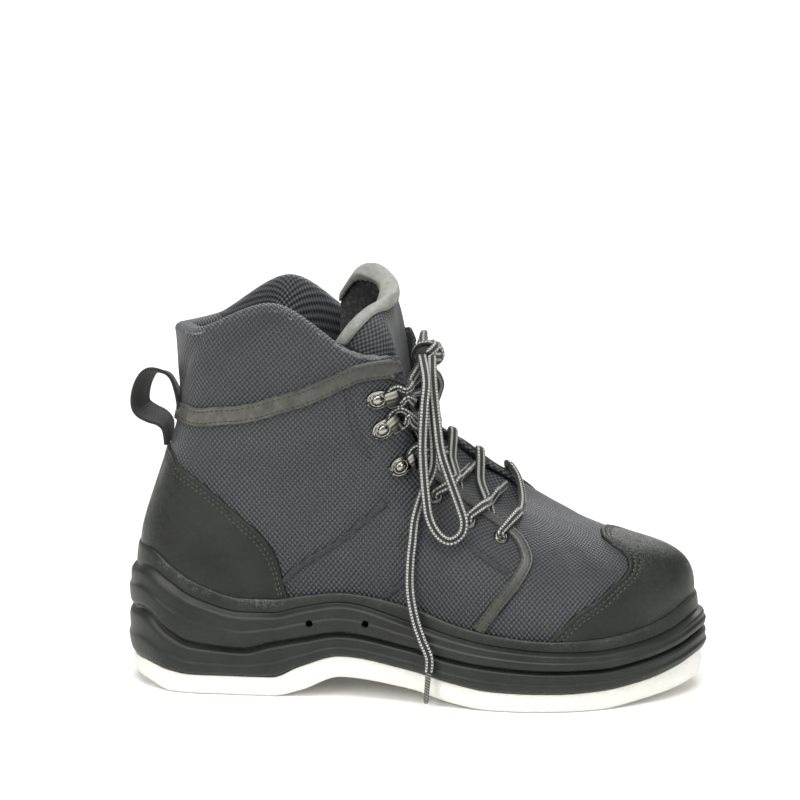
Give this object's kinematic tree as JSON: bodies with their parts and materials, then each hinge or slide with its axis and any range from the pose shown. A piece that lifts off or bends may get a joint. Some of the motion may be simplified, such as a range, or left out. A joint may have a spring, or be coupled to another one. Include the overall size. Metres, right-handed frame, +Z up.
{
  "type": "wading boot",
  "caption": "Ankle-high laced wading boot with a hollow fabric upper, rubber cup sole, felt tread, padded collar and heel pull loop.",
  "frame": {"origin": "on the floor under the middle of the heel tread", "axes": "+X from heel to toe, +Y towards the inner side of the foot, +Z up"},
  "size_m": [0.3244, 0.1264, 0.2331],
  "materials": {
    "felt": "dense felt",
    "rubber": "satin",
    "upper_fabric": "coarse woven nylon",
    "insole_foam": "cloth-covered foam",
    "tongue_fabric": "woven, padded",
    "light_binding": "smooth synthetic",
    "leather": "fine grain, satin",
    "binding": "smooth synthetic",
    "metal": "dark plated",
    "webbing": "woven webbing",
    "lace": "braided",
    "lace_tip": "smooth"
  },
  "bodies": {
    "root": {"felt_outsole": "felt", "cup_sole": "rubber", "upper": "upper_fabric", "insole": "insole_foam", "tongue": "tongue_fabric", "tongue_binding": "light_binding", "toe_cap": "leather", "heel_counter": "leather", "ankle_strip": "binding", "quarter_binding_outer": "binding", "quarter_binding_inner": "binding", "eyelet_outer_1": "metal", "hook_outer_1": "metal", "eyelet_outer_2": "metal", "hook_outer_2": "metal", "eyelet_outer_3": "metal", "hook_outer_3": "metal", "eyelet_inner_1": "metal", "hook_inner_1": "metal", "eyelet_inner_2": "metal", "hook_inner_2": "metal", "eyelet_inner_3": "metal", "hook_inner_3": "metal", "pull_loop": "webbing", "lace_bar": "lace", "lace_cross_1": "lace", "lace_cross_2": "lace", "lace_cross_3": "lace", "lace_cross_4": "lace", "lace_cross_5": "lace", "lace_tie_outer": "lace", "lace_tie_inner": "lace", "lace_knot": "lace", "lace_loop_outer": "lace", "lace_loop_inner": "lace", "lace_end_outer": "lace", "lace_end_inner": "lace", "aglet_outer": "lace_tip", "aglet_inner": "lace_tip"}
  },
  "joints": []
}
